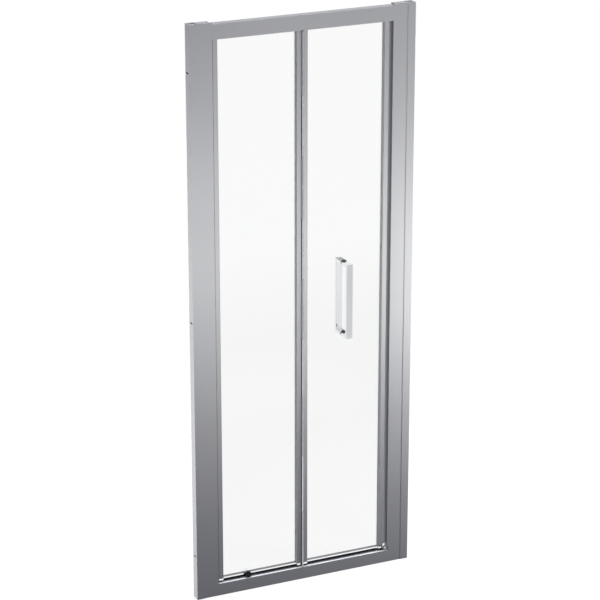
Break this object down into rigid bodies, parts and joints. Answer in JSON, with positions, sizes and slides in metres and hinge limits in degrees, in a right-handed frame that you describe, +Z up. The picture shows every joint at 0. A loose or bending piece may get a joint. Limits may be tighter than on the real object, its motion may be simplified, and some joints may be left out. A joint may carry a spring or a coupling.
{
  "type": "bifold shower door",
  "caption": "Framed bifold shower door: two glass leaves with a piano hinge fold inwards between wall-channel jambs, with back-to-back pull handles.",
  "frame": {"origin": "middle of the width, glass plane, underside of the sill", "axes": "+X right seen from outside, -Y outside, +Y inside the shower, +Z up"},
  "size_m": [0.76, 0.09, 1.9],
  "materials": {
    "satin_anodised": "satin anodised silver extrusion",
    "polished_aluminium": "polished bright silver trim",
    "chrome": "polished chrome plate",
    "steel": "stainless steel fastener",
    "glass": "clear toughened safety glass",
    "seal": "soft black seal",
    "strike": "dark grey moulded profile",
    "moulding": "grey moulded nylon",
    "bumper": "black rubber"
  },
  "bodies": {
    "root": {"wall_channel_left": "satin_anodised", "wall_channel_right": "satin_anodised", "jamb_left": "satin_anodised", "jamb_right": "satin_anodised", "jamb_cap_left": "moulding", "jamb_cap_right": "moulding", "head_rail": "satin_anodised", "head_fascia": "satin_anodised", "sill_rail": "satin_anodised", "corner_screws": "steel", "fixing_screws": "steel", "screw_covers": "chrome", "pivot_bush_bottom": "moulding", "pivot_bush_top": "moulding", "strike_seal": "strike", "pivot_seal": "seal", "travel_stop": "bumper", "stop_screw": "steel"},
    "pivot_leaf": {"pivot_glass": "glass", "pivot_stile": "satin_anodised", "hinge_stile_left": "satin_anodised", "pivot_bottom_rail": "polished_aluminium", "pivot_top_rail": "satin_anodised", "pivot_glazing_beads": "strike", "pivot_drip_seal": "seal", "pivot_end_blocks": "polished_aluminium", "pivot_pins": "steel", "centre_seal": "seal", "hinge_pin": "steel"},
    "lead_leaf": {"lead_glass": "glass", "lead_stile": "satin_anodised", "hinge_stile_right": "satin_anodised", "lead_bottom_rail": "polished_aluminium", "lead_top_rail": "satin_anodised", "lead_glazing_beads": "strike", "lead_drip_seal": "seal", "lead_end_blocks": "polished_aluminium", "lead_magnet": "seal", "guide_pins": "steel", "handle_outer": "chrome", "handle_inner": "chrome", "handle_studs": "steel", "handle_washers": "moulding"},
    "bottom_guide": {"guide_carriage": "moulding", "roller_axle": "steel"},
    "roller": {"guide_roller": "chrome"},
    "top_guide": {"top_guide_shoe": "moulding"}
  },
  "joints": [
    {"name": "fold", "type": "hinge", "parent": "root", "child": "pivot_leaf", "pos_m": [-0.2965, 0, 0.95], "axis": [0, 0, 1], "range_deg": [0, 82.8]},
    {"name": "middle_hinge", "type": "hinge", "parent": "pivot_leaf", "child": "lead_leaf", "pos_m": [-0.00535, -0.0172, 0.95], "axis": [0, 0, 1], "range_deg": [-165.6, 0]},
    {"name": "guide_swivel", "type": "hinge", "parent": "lead_leaf", "child": "bottom_guide", "pos_m": [0.2858, 0, 0.0455], "axis": [0, 0, 1], "range_deg": [0, 82.8]},
    {"name": "top_guide_swivel", "type": "hinge", "parent": "lead_leaf", "child": "top_guide", "pos_m": [0.2858, 0, 1.872], "axis": [0, 0, 1], "range_deg": [0, 82.8]},
    {"name": "roller_spin", "type": "hinge", "parent": "bottom_guide", "child": "roller", "pos_m": [0.2981, -0.0145, 0.0522], "axis": [0, 1, 0], "continuous": true}
  ],
  "couplings": [
    {"joint": "middle_hinge", "follows": "fold", "ratio": -2},
    {"joint": "guide_swivel", "follows": "fold", "ratio": 1},
    {"joint": "top_guide_swivel", "follows": "fold", "ratio": 1}
  ]
}
